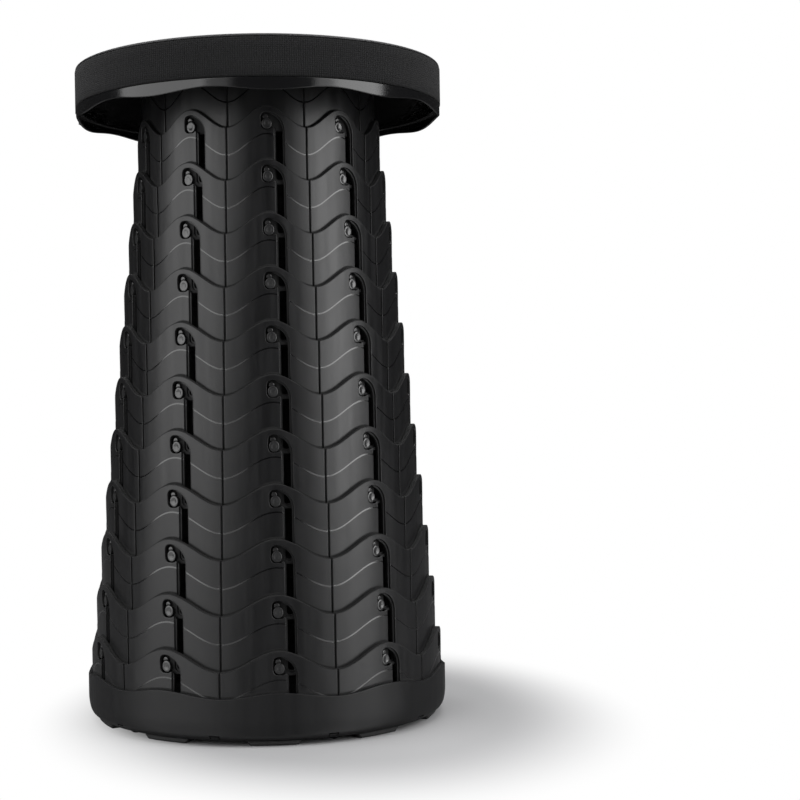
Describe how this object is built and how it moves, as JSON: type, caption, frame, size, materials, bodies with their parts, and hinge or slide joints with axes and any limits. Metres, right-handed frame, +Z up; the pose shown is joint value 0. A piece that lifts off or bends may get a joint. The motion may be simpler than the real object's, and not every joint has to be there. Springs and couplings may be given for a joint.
{
  "type": "collapsible telescopic stool",
  "caption": "Round folding stool: nested wavy plastic rings slide out of each other into a tapered column under a flat seat with a carrying strap.",
  "frame": {"origin": "on the floor under the middle of the seat, on the column's axis", "axes": "+Z up along the column, -Y towards a row of locking pins, the carrying loop behind at 20 degrees from +Y towards -X"},
  "size_m": [0.253, 0.309, 0.4428],
  "materials": {
    "ring_nylon": "satin moulded black nylon",
    "seat_nylon": "pebble grained black nylon",
    "webbing": "woven black webbing",
    "foot_rubber": "matt black rubber",
    "buckle_plastic": "dark moulded acetal",
    "screw_steel": "zinc plated steel"
  },
  "bodies": {
    "base": {"base_tray": "ring_nylon", "ring_12": "ring_nylon", "foot_01": "foot_rubber", "foot_02": "foot_rubber", "foot_03": "foot_rubber", "foot_04": "foot_rubber", "foot_05": "foot_rubber", "foot_06": "foot_rubber", "foot_07": "foot_rubber", "foot_08": "foot_rubber", "foot_09": "foot_rubber", "foot_10": "foot_rubber", "base_screw_1": "screw_steel", "base_screw_2": "screw_steel", "base_screw_3": "screw_steel", "base_screw_4": "screw_steel", "base_screw_5": "screw_steel"},
    "ring_11": {"ring_11": "ring_nylon"},
    "ring_10": {"ring_10": "ring_nylon"},
    "ring_09": {"ring_09": "ring_nylon"},
    "ring_08": {"ring_08": "ring_nylon"},
    "ring_07": {"ring_07": "ring_nylon"},
    "ring_06": {"ring_06": "ring_nylon"},
    "ring_05": {"ring_05": "ring_nylon"},
    "ring_04": {"ring_04": "ring_nylon"},
    "ring_03": {"ring_03": "ring_nylon"},
    "ring_02": {"ring_02": "ring_nylon"},
    "seat": {"ring_01": "ring_nylon", "seat_shell": "seat_nylon", "seat_cap": "seat_nylon", "seat_screw_1": "screw_steel", "seat_screw_2": "screw_steel", "seat_screw_3": "screw_steel", "seat_screw_4": "screw_steel", "seat_screw_5": "screw_steel", "strap_band": "webbing", "carry_loop": "webbing", "strap_overlap": "webbing"},
    "strap_slide": {"strap_adjuster": "buckle_plastic", "strap_tail": "webbing"}
  },
  "joints": [
    {"name": "ring_11_slide", "type": "slide", "parent": "base", "child": "ring_11", "axis": [0, 0, 1], "range_m": [-0.03435, 0]},
    {"name": "ring_10_slide", "type": "slide", "parent": "ring_11", "child": "ring_10", "axis": [0, 0, 1], "range_m": [-0.03435, 0]},
    {"name": "ring_09_slide", "type": "slide", "parent": "ring_10", "child": "ring_09", "axis": [0, 0, 1], "range_m": [-0.03435, 0]},
    {"name": "ring_08_slide", "type": "slide", "parent": "ring_09", "child": "ring_08", "axis": [0, 0, 1], "range_m": [-0.03435, 0]},
    {"name": "ring_07_slide", "type": "slide", "parent": "ring_08", "child": "ring_07", "axis": [0, 0, 1], "range_m": [-0.03435, 0]},
    {"name": "ring_06_slide", "type": "slide", "parent": "ring_07", "child": "ring_06", "axis": [0, 0, 1], "range_m": [-0.03435, 0]},
    {"name": "ring_05_slide", "type": "slide", "parent": "ring_06", "child": "ring_05", "axis": [0, 0, 1], "range_m": [-0.03435, 0]},
    {"name": "ring_04_slide", "type": "slide", "parent": "ring_05", "child": "ring_04", "axis": [0, 0, 1], "range_m": [-0.03435, 0]},
    {"name": "ring_03_slide", "type": "slide", "parent": "ring_04", "child": "ring_03", "axis": [0, 0, 1], "range_m": [-0.03435, 0]},
    {"name": "ring_02_slide", "type": "slide", "parent": "ring_03", "child": "ring_02", "axis": [0, 0, 1], "range_m": [-0.03435, 0]},
    {"name": "seat_slide", "type": "slide", "parent": "ring_02", "child": "seat", "axis": [0, 0, 1], "range_m": [-0.03435, 0]},
    {"name": "strap_adjust", "type": "hinge", "parent": "seat", "child": "strap_slide", "pos_m": [0, 0, 0.4262], "axis": [0, 0, 1], "range_deg": [-10, 10]}
  ]
}
